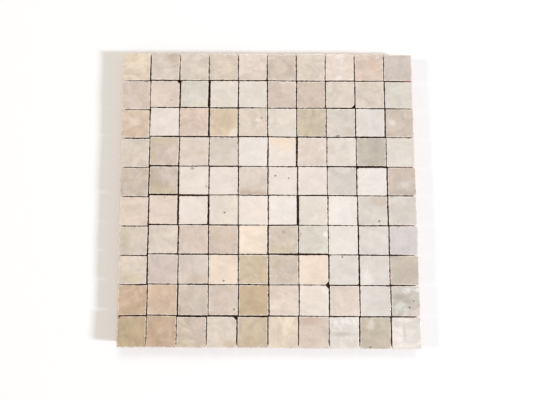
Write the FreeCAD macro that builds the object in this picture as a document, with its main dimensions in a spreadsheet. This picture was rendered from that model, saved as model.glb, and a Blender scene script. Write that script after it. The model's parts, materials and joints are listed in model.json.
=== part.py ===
import FreeCAD, Part
import enum
import os
import random
import Sketcher

# A mosaic sheet of 100 hand-cut glazed clay chips, laid ten by ten on a glass-fibre mesh.
# The origin is the middle of the mesh's underside. +Z is up, out of the glaze, and +Y points to
# the sheet's far edge, where the laying plan starts.

# Driving sizes, in millimetres and degrees.
SIZES = {
    "chip_side": 25.2,         # full glazed face of a chip, edge to edge
    "chip_thickness": 11.0,    # an average chip, from its back to its glaze
    "thickness_wander": 0.4,   # most that a chip is thicker or thinner than that
    "face_tilt": 0.5,          # most that a glazed face tilts each way
    "joint_width": 0.3,        # narrowest joint between two chips
    "cut_wander": 0.5,         # most that a cut edge falls short of the full face
    "short_cut": 0.55,         # further shortfall of a side that was cut clearly short
    "laying_drift": 1.6,       # most that a laid joint strays from the even grid
    "rack": 3.3,               # sideways lean of the sheet between its far and near edges
    "undercut_angle": 7.0,     # lean of an average chiselled side, inwards to the back
    "undercut_wander": 2.5,    # most that a side leans more or less than that
    "corner_cut": 0.8,         # clay that the chisel takes off every corner
    "corner_knock": 2.0,       # clay lost at a corner that was knocked in laying
    "rim_bevel": 0.4,          # worn rim of the glazed face
    "mesh_pitch": 12.7,        # spacing of the mesh yarns
    "mesh_inset": 3.0,         # how far the cut mesh stays inside the sheet's edge
    "yarn_width": 1.2,
    "yarn_thickness": 0.25,
}

# The glazes, each with the name of the node that holds its chips.
GLAZES = {
    "Y": "straw_chips",
    "L": "linen_chips",
    "B": "blush_chips",
    "T": "taupe_chips",
    "R": "rose_chips",
    "H": "stone_grey_chips",
    "M": "mauve_chips",
    "E": "sage_chips",
    "C": "cream_chips",
    "A": "honey_chips",
    "S": "shell_chips",
    "O": "olive_chips",
    "G": "pearl_grey_chips",
    "F": "frost_chips",
    "W": "milk_white_chips",
    "K": "lichen_chips",
    "D": "sand_chips",
    "P": "peach_chips",
    "V": "lilac_chips",
}

# The glaze of each chip, row by row from the far edge.
LAYING_PLAN = [
    "YLLLBTLBRH",
    "MBECCMMLLE",
    "ASRALCOGFT",
    "LTBGWSBCKF",
    "TOSSLSSGWM",
    "BBSCWWCWGG",
    "LLMMPTEWFV",
    "LMLPOTPFFH",
    "DATMDBSBFH",
    "DDTLOYMFKW",
]
ROWS = len(LAYING_PLAN)
COLUMNS = len(LAYING_PLAN[0])

# Where the laid joints stray to, as shares of the laying drift. A joint between two columns
# strays to +X and a joint between two rows to +Y. The near row and the first column were laid
# by themselves, so their joints stray another way. The sheet's own edges stay on the grid.
COLUMN_DRIFT = [0, -0.3, -0.15, 0.1, 0.05, 0.1, 0.05, 0.1, 0.15, 0.45, 0]
NEAR_ROW_COLUMN_DRIFT = [0, -0.5, -0.7, -0.9, -0.8, -0.5, -0.4, -0.4, -0.4, 0.2, 0]
ROW_DRIFT = [0, 0.3, 0.9, 0.75, 0.45, 0.75, 0.6, 0.95, 1, 0.75, 0]
FIRST_COLUMN_ROW_DRIFT = [0, -0.1, -0.4, -0.3, -0.6, -0.5, -0.25, 0.1, 0.6, 0.45, 0]

# The sides cut clearly short, which leave the widest joints, by row and column from one.
SHORT_SIDES = {
    (2, 3): "WE",
    (2, 4): "W",
    (3, 3): "E",
    (3, 9): "S",
    (4, 6): "E",
    (4, 9): "S",
    (5, 2): "E",
    (5, 9): "N",
    (6, 2): "NE",
    (6, 3): "NE",
    (6, 6): "E",
    (6, 7): "W",
    (7, 5): "E",
    (7, 6): "S",
    (7, 7): "S",
    (8, 1): "E",
    (10, 3): "N",
    (10, 4): "N",
    (10, 5): "N",
}

# The corners knocked off in laying, as their sides to +X or -X and to +Y or -Y.
KNOCKED_CORNERS = {
    (1, 2): (1, 1),
    (2, 8): (1, -1),
    (5, 9): (-1, 1),
    (8, 7): (1, -1),
    (9, 7): (1, 1),
    (10, 1): (-1, 1),
    (10, 4): (1, 1),
}

HAND_SEED = 41

# Lengths that follow from the driving sizes.
PITCH = "(sizes.chip_side + sizes.joint_width)"
MESH_SIDE = f"({COLUMNS} * {PITCH} - sizes.joint_width - 2 * sizes.mesh_inset)"
MESH_THICKNESS = "(2 * sizes.yarn_thickness)"
YARNS_PER_HALF = f"floor(({MESH_SIDE} / 2 - sizes.yarn_width) / sizes.mesh_pitch)"

# A sketch's own origin, as its constraints name that point.
SKETCH_ORIGIN = (-1, 1)


class LineEnd(enum.IntEnum):
    """The two ends of a line, as a sketch's constraints name them."""

    START = 1
    END = 2


# The four corners of an outline, in the order in which its lines start at them.
CORNERS = [(-1, -1), (1, -1), (1, 1), (-1, 1)]

# A face that rises less than this lies flat.
FLAT = 1e-6


def make_sizes(doc):
    """Put the driving sizes into the document's sheet, one named cell each."""
    sheet = doc.addObject("Spreadsheet::Sheet", "sizes")
    for row, (name, value) in enumerate(SIZES.items(), start=1):
        sheet.set(f"A{row}", name)
        sheet.set(f"B{row}", str(value))
        sheet.setAlias(f"B{row}", name)
    doc.recompute()


def origin_part(body, role):
    """The origin plane or axis of a body that has this role."""
    return next(part for part in body.Origin.OriginFeatures if part.Role == role)


def hold_point(sketch, line, axis, side, distance):
    """Hold a line's start at a distance from the sketch's origin, to one side along an axis."""
    start = (line, LineEnd.START)
    ends = SKETCH_ORIGIN + start if side > 0 else start + SKETCH_ORIGIN
    nominal = SIZES["chip_side"] / 2
    index = sketch.addConstraint(Sketcher.Constraint("Distance" + axis, *ends, nominal))
    sketch.setExpression(f"Constraints[{index}]", distance)


def draw_outline(body, name, place):
    """Draw a four-sided outline. For each corner and axis, place gives a side and a distance."""
    sketch = body.newObject("Sketcher::SketchObject", name)
    sketch.AttachmentSupport = [(origin_part(body, "XY_Plane"), "")]
    sketch.MapMode = "FlatFace"
    half = SIZES["chip_side"] / 2
    points = [FreeCAD.Vector(x_side * half, y_side * half, 0) for x_side, y_side in CORNERS]
    for line, point in enumerate(points):
        following = points[(line + 1) % len(points)]
        sketch.addGeometry(Part.LineSegment(point, following), False)
    for line in range(len(CORNERS)):
        following = (line + 1) % len(CORNERS)
        ends = (line, LineEnd.END, following, LineEnd.START)
        sketch.addConstraint(Sketcher.Constraint("Coincident", *ends))
    for line, (x_side, y_side) in enumerate(CORNERS):
        hold_point(sketch, line, "X", *place(x_side, y_side, "X"))
        hold_point(sketch, line, "Y", *place(x_side, y_side, "Y"))
    return sketch


def add_pad(body, sketch, name, length):
    """Pad a sketch upwards by a length."""
    pad = body.newObject("PartDesign::Pad", name)
    pad.Profile = sketch
    pad.setExpression("Length", length)
    return pad


class Chip:
    """One chip: its place in the sheet, its cut outline and its chiselled solid."""

    def __init__(self, doc, row, column, hand):
        self.row = row
        self.column = column
        self.hand = hand
        self.node = GLAZES[LAYING_PLAN[row - 1][column - 1]]
        name = f"{self.node[:-1]}_{row}_{column}"
        self.body = doc.addObject("PartDesign::Body", name)
        self.body.Label = name
        thickness = self.thickness()
        outline = draw_outline(self.body, name + "_face", self.reach)
        self.solid = add_pad(self.body, outline, name + "_clay", thickness)
        self.solid.Reversed = True
        self.place(thickness)

    def thickness(self):
        """This chip's own thickness."""
        share = round(self.hand.uniform(-1, 1), 2)
        return f"sizes.chip_thickness + {share} * sizes.thickness_wander"

    def place(self, thickness):
        """Lay the chip in its row and column, its back on the mesh."""
        across = self.column - (COLUMNS + 1) / 2
        back = self.row - (ROWS + 1) / 2
        lean = f"{back / ROWS} * sizes.rack"
        self.body.setExpression("Placement.Base.x", f"{across} * {PITCH} + {lean}")
        self.body.setExpression("Placement.Base.y", f"{-back} * {PITCH}")
        self.body.setExpression("Placement.Base.z", f"{MESH_THICKNESS} + {thickness}")

    def drift(self, side, axis):
        """The stray of the joint on one side of this chip, as a share of the laying drift."""
        if axis == "X":
            joints = NEAR_ROW_COLUMN_DRIFT if self.row == ROWS else COLUMN_DRIFT
            return joints[self.column if side > 0 else self.column - 1]
        joints = FIRST_COLUMN_ROW_DRIFT if self.column == 1 else ROW_DRIFT
        return joints[self.row - 1 if side > 0 else self.row]

    def is_short(self, side, axis):
        """Whether the side was cut clearly short."""
        letters = {("X", 1): "E", ("X", -1): "W", ("Y", 1): "N", ("Y", -1): "S"}
        return letters[axis, side] in SHORT_SIDES.get((self.row, self.column), "")

    def reach(self, x_side, y_side, axis):
        """The side and the distance at which a corner of the glazed face lies along an axis."""
        side = x_side if axis == "X" else y_side
        shortfall = round(self.hand.random(), 2)
        drift = side * self.drift(side, axis)
        reach = f"sizes.chip_side / 2 + {drift} * sizes.laying_drift - {shortfall} * sizes.cut_wander"
        if self.is_short(side, axis):
            reach += " - sizes.short_cut"
        return side, reach

    def glazed_face(self):
        """The name of the face that carries the glaze."""
        faces = enumerate(self.solid.Shape.Faces, start=1)
        number, _ = max(faces, key=lambda numbered: numbered[1].CenterOfMass.z)
        return f"Face{number}"

    def wall(self, x_side, y_side):
        """The name of the wall on one side of the chip."""
        faces = enumerate(self.solid.Shape.Faces, start=1)
        walls = [(number, face) for number, face in faces if face.BoundBox.ZLength > FLAT]
        out = FreeCAD.Vector(x_side, y_side, 0)
        number, _ = max(walls, key=lambda wall: wall[1].CenterOfMass.dot(out))
        return f"Face{number}"

    def corner_edges(self, knocked):
        """The names of the edges down the chip's corners, either the knocked one or the others."""
        lost = KNOCKED_CORNERS.get((self.row, self.column))
        names = []
        for number, edge in enumerate(self.solid.Shape.Edges, start=1):
            top = max((vertex.Point for vertex in edge.Vertexes), key=lambda point: point.z)
            upright = edge.BoundBox.ZLength > self.solid.Shape.BoundBox.ZLength / 2
            is_lost = lost is not None and top.x * lost[0] > 0 and top.y * lost[1] > 0
            if upright and is_lost == knocked:
                names.append(f"Edge{number}")
        return names

    def rim_edges(self):
        """The names of the edges round the glazed face."""
        middle = self.solid.Shape.BoundBox.Center.z
        edges = enumerate(self.solid.Shape.Edges, start=1)
        return [f"Edge{number}" for number, edge in edges if edge.BoundBox.ZMin > middle]

    def dress(self, kind, name, base):
        """Add a feature that works on faces or edges of the chip as it is so far."""
        feature = self.body.newObject("PartDesign::" + kind, f"{self.body.Name}_{name}")
        feature.Base = (self.solid, base)
        return feature

    def keep(self, feature):
        """Take a finished feature as the chip's solid."""
        self.solid = feature
        self.body.Tip = feature

    def chisel_wall(self, name, x_side, y_side):
        """Lean one wall inwards to the back, by its own angle, below the rim of the glazed face."""
        share = round(self.hand.uniform(-1, 1), 2)
        draft = self.dress("Draft", name, [self.wall(x_side, y_side)])
        draft.NeutralPlane = (self.solid, [self.glazed_face()])
        draft.Reversed = True
        draft.setExpression("Angle", f"sizes.undercut_angle + {share} * sizes.undercut_wander")
        self.keep(draft)

    def tilt_face(self, name, plane):
        """Tilt the glazed face about the line where it meets one of the chip's middle planes."""
        share = round(self.hand.uniform(-1, 1), 2)
        draft = self.dress("Draft", name, [self.glazed_face()])
        draft.NeutralPlane = (origin_part(self.body, plane), [""])
        draft.Reversed = share < 0
        draft.setExpression("Angle", f"{abs(share)} * sizes.face_tilt")
        self.keep(draft)

    def chamfer(self, name, edges, size):
        """Cut flat along some edges."""
        cut = self.dress("Chamfer", name, edges)
        cut.setExpression("Size", "sizes." + size)
        self.keep(cut)

    def knock_corner(self):
        """Knock off the corner that was lost in laying, if there is one."""
        if (self.row, self.column) in KNOCKED_CORNERS:
            self.chamfer("knock", self.corner_edges(True), "corner_knock")

    def cut_corners(self):
        """Take the chisel's cut off every corner that wasn't knocked."""
        self.chamfer("corners", self.corner_edges(False), "corner_cut")

    def wear_rim(self):
        """Bevel the rim of the glazed face."""
        self.chamfer("rim", self.rim_edges(), "rim_bevel")


# How a chip is cut, one step after another.
CUTS = [
    lambda chip: chip.chisel_wall("east_wall", 1, 0),
    lambda chip: chip.chisel_wall("north_wall", 0, 1),
    lambda chip: chip.chisel_wall("west_wall", -1, 0),
    lambda chip: chip.chisel_wall("south_wall", 0, -1),
    lambda chip: chip.tilt_face("sideways_tilt", "YZ_Plane"),
    lambda chip: chip.tilt_face("lengthways_tilt", "XZ_Plane"),
    Chip.knock_corner,
    Chip.cut_corners,
    Chip.wear_rim,
]


def make_chips(doc):
    """Make every chip, one kind of cut at a time over the whole sheet."""
    hand = random.Random(HAND_SEED)
    places = [(row, column) for row in range(1, ROWS + 1) for column in range(1, COLUMNS + 1)]
    chips = [Chip(doc, row, column, hand) for row, column in places]
    doc.recompute()
    for cut in CUTS:
        for chip in chips:
            cut(chip)
        doc.recompute()
    return chips


def group_by_glaze(doc, chips):
    """Group the chips of each glaze, which share a node."""
    groups = []
    for node in GLAZES.values():
        group = doc.addObject("Part::Compound", node)
        group.Label = node
        group.Links = [chip.body for chip in chips if chip.node == node]
        groups.append(group)
    return groups


def lay_yarns(body, name, run_axis, spread_axis, height):
    """Lay one set of parallel yarns along run_axis, spread evenly along the other axis."""

    def reach(x_side, y_side, axis):
        side = x_side if axis == "X" else y_side
        if axis == run_axis:
            return side, f"{MESH_SIDE} / 2"
        middle_of_first = f"{YARNS_PER_HALF} * sizes.mesh_pitch"
        return -1, f"{middle_of_first} - {side} * sizes.yarn_width / 2"

    sketch = draw_outline(body, name + "_outline", reach)
    sketch.setExpression("AttachmentOffset.Base.z", height)
    yarn = add_pad(body, sketch, name + "_yarn", "sizes.yarn_thickness")
    body.Document.recompute()
    yarns = body.newObject("PartDesign::LinearPattern", name + "_yarns")
    yarns.Originals = [yarn]
    yarns.Direction = (origin_part(body, spread_axis + "_Axis"), [""])
    yarns.Mode = "Spacing"
    yarns.setExpression("Offset", "sizes.mesh_pitch")
    yarns.setExpression("Occurrences", f"2 * {YARNS_PER_HALF} + 1")
    body.Tip = yarns
    body.Document.recompute()


def make_mesh(doc):
    """Make the backing mesh: two crossing sets of yarns, bonded where they cross."""
    mesh = doc.addObject("PartDesign::Body", "backing_mesh")
    mesh.Label = "backing_mesh"
    mesh.AllowCompound = True
    lay_yarns(mesh, "warp", "Y", "X", "0")
    lay_yarns(mesh, "weft", "X", "Y", "sizes.yarn_thickness")
    return mesh


def check(doc, parts):
    """Stop if any object of the document failed, or if a part's shape isn't sound."""
    for thing in doc.Objects:
        if "Invalid" in thing.State or "Error" in thing.State:
            raise RuntimeError(f"{thing.Label} failed: {thing.State}")
    for part in parts:
        if part.Shape.isNull() or not part.Shape.isValid():
            raise RuntimeError(f"{part.Label} has no sound shape")


def main():
    """Build the sheet and write one file for each node."""
    doc = FreeCAD.newDocument("mosaic_tile_sheet")
    make_sizes(doc)
    chips = make_chips(doc)
    parts = group_by_glaze(doc, chips)
    parts.append(make_mesh(doc))
    doc.recompute()
    check(doc, parts)
    os.makedirs("parts", exist_ok=True)
    for part in parts:
        part.Shape.exportStep(f"parts/{part.Label}.step")
        print(f"{part.Label}: {len(part.Shape.Solids)} solids, {part.Shape.Volume:.0f} mm3")


main()
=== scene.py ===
"""The looks of a mosaic sheet: 100 hand-cut glazed clay chips on a glass-fibre mesh."""
import enum
import itertools
import json
import logging
import math
import random
from dataclasses import dataclass
from typing import Any, Callable, ClassVar, Iterable, Optional, Union

import bmesh
import bpy
import numpy as np
from mathutils import Matrix, Vector

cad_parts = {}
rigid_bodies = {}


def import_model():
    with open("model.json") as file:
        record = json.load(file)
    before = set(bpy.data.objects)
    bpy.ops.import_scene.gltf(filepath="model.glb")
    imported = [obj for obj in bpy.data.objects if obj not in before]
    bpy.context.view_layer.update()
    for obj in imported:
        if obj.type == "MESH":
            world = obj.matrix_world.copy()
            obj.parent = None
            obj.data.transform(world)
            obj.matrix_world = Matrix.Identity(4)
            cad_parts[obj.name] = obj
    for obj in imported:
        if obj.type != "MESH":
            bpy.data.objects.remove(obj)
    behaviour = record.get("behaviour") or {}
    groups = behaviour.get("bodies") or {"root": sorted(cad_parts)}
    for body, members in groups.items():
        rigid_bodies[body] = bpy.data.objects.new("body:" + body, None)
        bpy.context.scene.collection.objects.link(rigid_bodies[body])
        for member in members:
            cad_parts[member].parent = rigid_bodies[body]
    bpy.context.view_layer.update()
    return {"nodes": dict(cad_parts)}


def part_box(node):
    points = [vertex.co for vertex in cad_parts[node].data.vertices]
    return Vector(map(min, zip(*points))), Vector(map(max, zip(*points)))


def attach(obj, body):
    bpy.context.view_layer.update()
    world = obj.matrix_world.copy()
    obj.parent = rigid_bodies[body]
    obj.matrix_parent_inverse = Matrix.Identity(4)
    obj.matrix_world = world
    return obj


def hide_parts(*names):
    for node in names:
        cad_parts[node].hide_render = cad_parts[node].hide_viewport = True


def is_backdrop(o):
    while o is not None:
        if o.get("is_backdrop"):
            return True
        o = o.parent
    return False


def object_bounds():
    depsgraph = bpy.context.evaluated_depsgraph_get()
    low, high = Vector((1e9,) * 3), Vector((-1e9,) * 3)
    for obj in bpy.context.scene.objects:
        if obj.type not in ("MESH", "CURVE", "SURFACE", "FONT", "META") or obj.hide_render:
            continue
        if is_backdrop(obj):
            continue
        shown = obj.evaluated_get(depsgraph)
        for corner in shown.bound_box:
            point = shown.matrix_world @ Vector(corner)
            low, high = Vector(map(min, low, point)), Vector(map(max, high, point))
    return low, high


LOG: logging.Logger = logging.getLogger("mosaic_sheet")

MM: float = 0.001
"""A millimetre."""
PITCH: float = 25.5 * MM
"""Spacing of the chips, from middle to middle."""
MIDDLE: float = 5.5
"""Where the middle of ten rows or columns is, when they are counted from 1."""
HALF_SIDE: float = 12.5
"""Half the width of a chip before it gets a shape of its own, in millimetres."""
THICKNESS: float = 11.0
"""Its thickness then, in millimetres."""
WARM_LIGHT: tuple[float, float, float] = (1.06, 1.01, 0.93)
"""The red, green and blue of the warm lamps and of the even light."""

Tone = tuple[int, int, int]
"""A colour as it looks, in steps of 0 to 255."""


def linear(tone: Tone) -> tuple[float, float, float, float]:
    """Turn a colour as it looks into the linear one that a shader takes.

    Args:
        tone: The colour in steps of 0 to 255.

    Returns:
        Its linear red, green and blue, and an alpha of 1.
    """
    shares = [step / 255 for step in tone]
    red, green, blue = (
        share / 12.92 if share <= 0.04045 else ((share + 0.055) / 1.055) ** 2.4
        for share in shares
    )
    return (red, green, blue, 1.0)


# Handling of meshes, as at a bench


def pick_only(*things: bpy.types.Object) -> None:
    """Select these objects and nothing else, the first of them active.

    Args:
        things: The objects to select.
    """
    if bpy.context.mode != "OBJECT":
        bpy.ops.object.mode_set(mode="OBJECT")
    bpy.ops.object.select_all(action="DESELECT")
    for thing in things:
        thing.select_set(True)
    bpy.context.view_layer.objects.active = things[0]


def own_copy(thing: bpy.types.Object, name: str) -> bpy.types.Object:
    """Copy an object together with its mesh.

    Args:
        thing: The object to copy.
        name: What the copy is called.

    Returns:
        The copy, free of any parent.
    """
    copy = thing.copy()
    copy.data = thing.data.copy()
    copy.name = name
    copy.data.name = name
    copy.parent = None
    for label in list(copy.keys()):
        del copy[label]
    bpy.context.scene.collection.objects.link(copy)
    return copy


class Bench:
    """Edit-mode work on one mesh, whose parts are selected by a rule before each operator."""

    def __init__(self, thing: bpy.types.Object) -> None:
        """Take an object's mesh to the bench."""
        self.thing = thing

    def __enter__(self) -> "Bench":
        """Go into edit mode with nothing selected."""
        pick_only(self.thing)
        bpy.ops.object.mode_set(mode="EDIT")
        bpy.ops.mesh.select_mode(type="VERT")
        bpy.ops.mesh.select_all(action="DESELECT")
        return self

    def __exit__(self, *trouble: object) -> None:
        """Leave edit mode."""
        bpy.ops.object.mode_set(mode="OBJECT")

    def edges(self, rule: Callable[[bmesh.types.BMEdge], bool]) -> None:
        """Select the edges that a rule names, and nothing else.

        Args:
            rule: Says of an edge whether it is wanted.
        """
        bpy.ops.mesh.select_mode(type="EDGE")
        bpy.ops.mesh.select_all(action="DESELECT")
        form = bmesh.from_edit_mesh(self.thing.data)
        for edge in form.edges:
            if rule(edge):
                edge.select_set(True)
        bmesh.update_edit_mesh(self.thing.data)

    def everything(self) -> None:
        """Select the whole mesh."""
        bpy.ops.mesh.select_mode(type="VERT")
        bpy.ops.mesh.select_all(action="SELECT")


def apply_modifiers(thing: bpy.types.Object) -> None:
    """Apply all of an object's modifiers, in order.

    Args:
        thing: The object that has them.
    """
    pick_only(thing)
    for modifier in list(thing.modifiers):
        bpy.ops.object.modifier_apply(modifier=modifier.name)


def join(things: list[bpy.types.Object], name: str) -> bpy.types.Object:
    """Join objects into the first of them.

    Args:
        things: The objects to join.
        name: What the joined object is called.

    Returns:
        The joined object.
    """
    pick_only(*things)
    if len(things) > 1:
        bpy.ops.object.join()
    things[0].name = things[0].data.name = name
    return things[0]


def write_values(mesh: bpy.types.Mesh, name: str, values: np.ndarray) -> None:
    """Keep a value for each point of a mesh, under a name that a material reads.

    Args:
        mesh: The mesh that gets the values.
        name: What they are called.
        values: One number, or one row of three or four, for each point.
    """
    kinds = {1: ("FLOAT", "value"), 3: ("FLOAT_VECTOR", "vector"), 4: ("FLOAT_COLOR", "color")}
    wide = 1 if values.ndim == 1 else values.shape[1]
    kind, key = kinds[wide]
    kept = mesh.attributes.get(name) or mesh.attributes.new(name, kind, "POINT")
    kept.data.foreach_set(key, values.astype(np.float32).ravel())


def read_vectors(mesh: bpy.types.Mesh, name: str) -> np.ndarray:
    """Read a named vector of each point.

    Args:
        mesh: The mesh that has them.
        name: What they are called, which is position for where the points are.

    Returns:
        One row of three numbers for each point.
    """
    values = np.zeros(len(mesh.vertices) * 3, np.float32)
    mesh.attributes[name].data.foreach_get("vector", values)
    return values.reshape(-1, 3)


# Shader sums

Number = Union[int, float]
Term = Union["Value", Number]
"""What a sum takes: a value of the material or a plain number."""


class Value:
    """One number of a material, on which sums are written as plain expressions."""

    def __init__(self, board: "Board", socket: bpy.types.NodeSocket) -> None:
        """Hold one output of a node on a material's board."""
        self.board = board
        self.socket = socket

    def sum(self, operation: str, *terms: Term) -> "Value":
        """Add a Math node that works out one operation on its terms, in their order."""
        return self.board.add("ShaderNodeMath", {"operation": operation}, dict(enumerate(terms)))

    def __add__(self, other: Term) -> "Value":
        """Work out self + other."""
        return self.sum("ADD", self, other)

    __radd__ = __add__

    def __sub__(self, other: Term) -> "Value":
        """Work out self - other."""
        return self.sum("SUBTRACT", self, other)

    def __rsub__(self, other: Number) -> "Value":
        """Work out other - self."""
        return self.sum("SUBTRACT", other, self)

    def __mul__(self, other: Term) -> "Value":
        """Work out self * other."""
        return self.sum("MULTIPLY", self, other)

    __rmul__ = __mul__

    def __abs__(self) -> "Value":
        """Work out the size without its sign."""
        return self.sum("ABSOLUTE", self)

    def most(self, other: Term) -> "Value":
        """Take the larger of self and other."""
        return self.sum("MAXIMUM", self, other)

    def rise(self, low: Number, high: Number) -> "Value":
        """Go smoothly from 0 where self is low to 1 where it is high, which lies below low for a fall."""
        ends = {"Value": self, "From Min": low, "From Max": high}
        return self.board.add("ShaderNodeMapRange", {"interpolation_type": "SMOOTHSTEP"}, ends)


class Board:
    """A material's nodes, added one by one and wired by the name of their sockets."""

    def __init__(self, name: str) -> None:
        """Start a material with an empty board.

        Args:
            name: What the material is called.
        """
        self.material = bpy.data.materials.new(name)
        self.material.use_nodes = True
        self.tree = self.material.node_tree
        self.tree.nodes.clear()

    @classmethod
    def on_tree(cls, tree: bpy.types.NodeTree) -> "Board":
        """Start an empty board on a tree that is there already.

        Args:
            tree: The tree, whose nodes are cleared.

        Returns:
            The board.
        """
        board = cls.__new__(cls)
        board.tree = tree
        tree.nodes.clear()
        return board

    def seen(self) -> Value:
        """Tell what the camera sees, directly or in gloss or glass, from what only lights the scene.

        Returns:
            1 for what is seen, else 0.
        """
        ray = self.node("ShaderNodeLightPath")
        kinds = ("Camera", "Glossy", "Transmission")
        direct, in_gloss, in_glass = (Value(self, ray.outputs[f"Is {kind} Ray"]) for kind in kinds)
        return direct.most(in_gloss).most(in_glass)

    def node(
        self,
        kind: str,
        settings: Optional[dict[str, Any]] = None,
        sockets: Optional[dict[Union[str, int], Any]] = None,
    ) -> bpy.types.Node:
        """Add one node and wire its inputs.

        Args:
            kind: The node's type.
            settings: Its own settings, which are set first.
            sockets: A number, colour or other value for each named or counted input.

        Returns:
            The node.
        """
        node = self.tree.nodes.new(kind)
        for name, setting in (settings or {}).items():
            setattr(node, name, setting)
        for key, value in (sockets or {}).items():
            socket = self.find(node.inputs, key)
            if isinstance(value, Value):
                self.tree.links.new(value.socket, socket)
            elif isinstance(value, tuple):
                socket.default_value = value[: len(socket.default_value)]
            else:
                socket.default_value = value
        return node

    def add(
        self,
        kind: str,
        settings: Optional[dict[str, Any]] = None,
        sockets: Optional[dict[Union[str, int], Any]] = None,
        result: Union[str, int] = 0,
    ) -> Value:
        """Add one node, as the method node does, and take the output that is wanted."""
        node = self.node(kind, settings, sockets)
        return Value(self, self.find(node.outputs, result))

    @staticmethod
    def find(sockets: Any, key: Union[str, int]) -> bpy.types.NodeSocket:
        """Find a socket by its place, its identifier or its name.

        Args:
            sockets: A node's inputs or outputs.
            key: What to look for.

        Returns:
            The socket.
        """
        if isinstance(key, int):
            return sockets[key]
        for socket in sockets:
            if socket.identifier == key:
                return socket
        return sockets[key]

    def kept(self, name: str, output: str = "Vector") -> Value:
        """Read what the mesh keeps under a name, as a Vector, Color, Alpha or Fac."""
        return self.add("ShaderNodeAttribute", {"attribute_name": name}, result=output)

    def parts(self, vector: Value) -> tuple[Value, Value, Value]:
        """Split a vector into its x, y and z."""
        outputs = self.node("ShaderNodeSeparateXYZ", sockets={"Vector": vector}).outputs
        return Value(self, outputs[0]), Value(self, outputs[1]), Value(self, outputs[2])

    def stretched(self, vector: Value, shares: tuple[float, float, float]) -> Value:
        """Multiply a vector's x, y and z by a share each."""
        return self.add("ShaderNodeVectorMath", {"operation": "MULTIPLY"}, {0: vector, 1: shares})

    def noise(
        self, place: Value, scale: float, detail: float = 2, rough: float = 0.5, swirl: float = 0
    ) -> Value:
        """Add a noise of about 0 to 1 with so many waves in a metre, and with finer layers and swirls."""
        sockets = {"Vector": place, "Scale": scale, "Detail": detail, "Roughness": rough, "Distortion": swirl}
        return self.add("ShaderNodeTexNoise", {"noise_dimensions": "3D"}, sockets)

    def blend(self, under: Any, over: Any, share: Union[Value, Number]) -> Value:
        """Lay one colour over another, so that this share of it shows."""
        sockets = {"Factor_Float": share, "A_Color": under, "B_Color": over}
        return self.add("ShaderNodeMix", {"data_type": "RGBA"}, sockets, "Result_Color")

    def lit(self, colour: Any, share: Value) -> Value:
        """Multiply the light of a colour by a share."""
        return self.add("ShaderNodeVectorMath", {"operation": "SCALE"}, {0: colour, "Scale": share})

    def bump(self, height: Value, depth: float) -> Value:
        """Turn a height into a bent normal, where a height of 1 is so many metres deep."""
        return self.add("ShaderNodeBump", sockets={"Height": height, "Distance": depth, "Strength": 1.0})

    def finish(self, **sockets: Any) -> bpy.types.Material:
        """End the board in a surface.

        Args:
            sockets: The surface's inputs, with underscores for the spaces in their names.

        Returns:
            The finished material.
        """
        named = {name.replace("_", " "): value for name, value in sockets.items()}
        surface = self.add("ShaderNodeBsdfPrincipled", sockets=named)
        self.node("ShaderNodeOutputMaterial", sockets={"Surface": surface})
        return self.material


# Finishes


class Tint(enum.Enum):
    """The tints that show in places on the glazes."""

    OLIVE = (200, 186, 154)
    MOSS = (186, 169, 134)
    FLESH = (214, 182, 158)
    BLUSH = (243, 219, 205)
    TAN = (206, 182, 156)
    BROWN = (176, 142, 116)
    UMBER = (112, 90, 74)
    MAUVE = (215, 197, 190)
    SMOKE = (170, 158, 146)
    SEA = (209, 210, 200)
    PEACH = (246, 224, 200)
    # Milky white, which also serves for painted highlights: small bright spots that stand in for glints on
    # the glaze.
    MILK = (246, 242, 236)


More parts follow.
